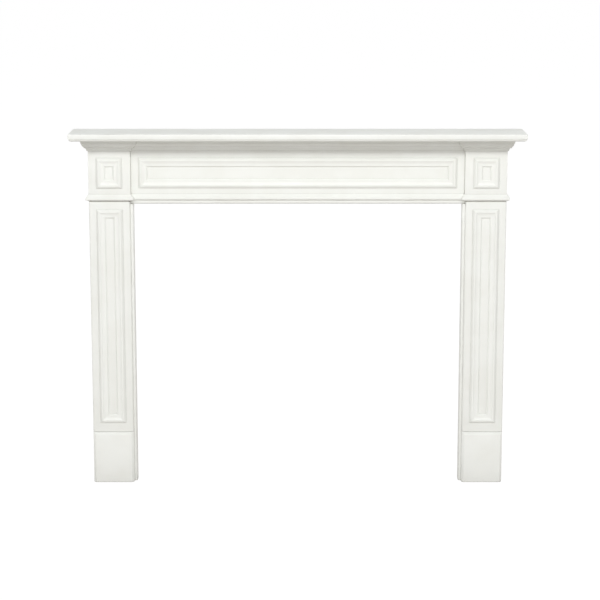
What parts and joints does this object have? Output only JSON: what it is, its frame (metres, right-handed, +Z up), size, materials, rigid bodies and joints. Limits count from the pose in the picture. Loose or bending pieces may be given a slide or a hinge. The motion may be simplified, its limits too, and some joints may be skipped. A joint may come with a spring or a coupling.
{
  "type": "miniature fireplace mantel",
  "caption": "White dolls' house fireplace surround with panelled legs on plinths, corner blocks, a panelled frieze, a crown moulding and a long shelf.",
  "frame": {"origin": "on the floor, under the middle of the shelf", "axes": "+X along the shelf, to the right of someone facing the mantel; +Y towards the wall; +Z up"},
  "size_m": [0.1386, 0.0148, 0.1118],
  "materials": {
    "white_satin_paint": "satin white paint on fine-grained wood",
    "bare_basswood": "bare sanded basswood"
  },
  "bodies": {
    "root": {"crown_centre": "white_satin_paint", "crown_left_block": "white_satin_paint", "crown_left_end": "white_satin_paint", "crown_left_inner_return": "white_satin_paint", "crown_right_block": "white_satin_paint", "crown_right_end": "white_satin_paint", "crown_right_inner_return": "white_satin_paint", "frieze_board": "white_satin_paint", "frieze_moulding_bottom": "white_satin_paint", "frieze_moulding_left": "white_satin_paint", "frieze_moulding_right": "white_satin_paint", "frieze_moulding_top": "white_satin_paint", "left_backing_board": "white_satin_paint", "left_block_moulding_bottom": "white_satin_paint", "left_block_moulding_left": "white_satin_paint", "left_block_moulding_right": "white_satin_paint", "left_block_moulding_top": "white_satin_paint", "left_corner_block": "white_satin_paint", "left_glue_block_1": "bare_basswood", "left_glue_block_2": "bare_basswood", "left_jamb_strip": "white_satin_paint", "left_pilaster": "white_satin_paint", "left_pilaster_moulding_bottom": "white_satin_paint", "left_pilaster_moulding_left": "white_satin_paint", "left_pilaster_moulding_right": "white_satin_paint", "left_pilaster_moulding_top": "white_satin_paint", "left_plinth": "white_satin_paint", "left_side_return": "white_satin_paint", "neck_moulding_centre": "white_satin_paint", "neck_moulding_left_block": "white_satin_paint", "neck_moulding_left_end": "white_satin_paint", "neck_moulding_left_inner_return": "white_satin_paint", "neck_moulding_right_block": "white_satin_paint", "neck_moulding_right_end": "white_satin_paint", "neck_moulding_right_inner_return": "white_satin_paint", "right_backing_board": "white_satin_paint", "right_block_moulding_bottom": "white_satin_paint", "right_block_moulding_left": "white_satin_paint", "right_block_moulding_right": "white_satin_paint", "right_block_moulding_top": "white_satin_paint", "right_corner_block": "white_satin_paint", "right_glue_block_1": "bare_basswood", "right_glue_block_2": "bare_basswood", "right_jamb_strip": "white_satin_paint", "right_pilaster": "white_satin_paint", "right_pilaster_moulding_bottom": "white_satin_paint", "right_pilaster_moulding_left": "white_satin_paint", "right_pilaster_moulding_right": "white_satin_paint", "right_pilaster_moulding_top": "white_satin_paint", "right_plinth": "white_satin_paint", "right_side_return": "white_satin_paint", "shelf": "white_satin_paint", "shelf_cleat": "bare_basswood", "soffit_strip": "white_satin_paint"}
  },
  "joints": []
}
